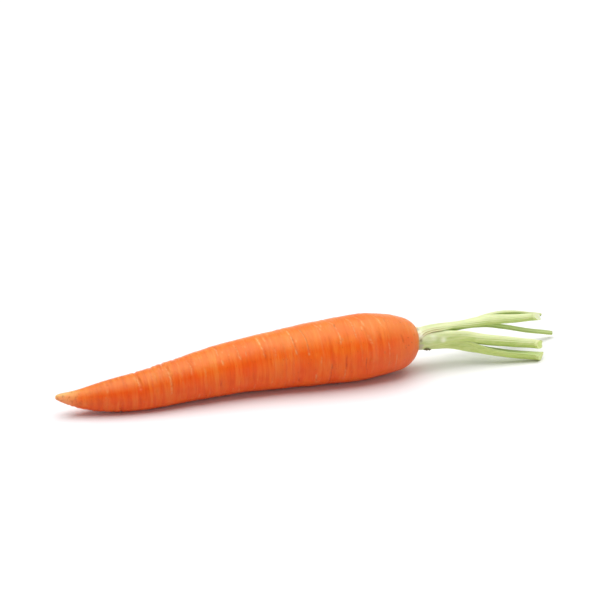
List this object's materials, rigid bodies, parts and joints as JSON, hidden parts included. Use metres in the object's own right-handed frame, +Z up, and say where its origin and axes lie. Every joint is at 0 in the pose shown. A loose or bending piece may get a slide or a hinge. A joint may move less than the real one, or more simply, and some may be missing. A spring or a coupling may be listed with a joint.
{
  "type": "carrot",
  "caption": "Fresh carrot lying on its side: a long tapering orange taproot with a rounded shoulder and the trimmed green stubs of its leaf stalks.",
  "frame": {"origin": "under the middle of the bounding box, on the surface the carrot lies on", "axes": "+X runs along the carrot from the root's tip to the cut leaf stalks, +Z is up from the surface, +Y completes the right-handed frame and points away from the side the picture shows"},
  "size_m": [0.2684, 0.033, 0.0327],
  "materials": {
    "carrot_skin": "satin",
    "petiole_green": "satin",
    "dried_leaf": "matte"
  },
  "bodies": {
    "root": {"taproot": "carrot_skin", "petiole_upper": "petiole_green", "petiole_middle": "petiole_green", "petiole_lower": "petiole_green", "petiole_back": "petiole_green", "petiole_inner": "petiole_green", "dried_leaf_base": "dried_leaf"}
  },
  "joints": []
}
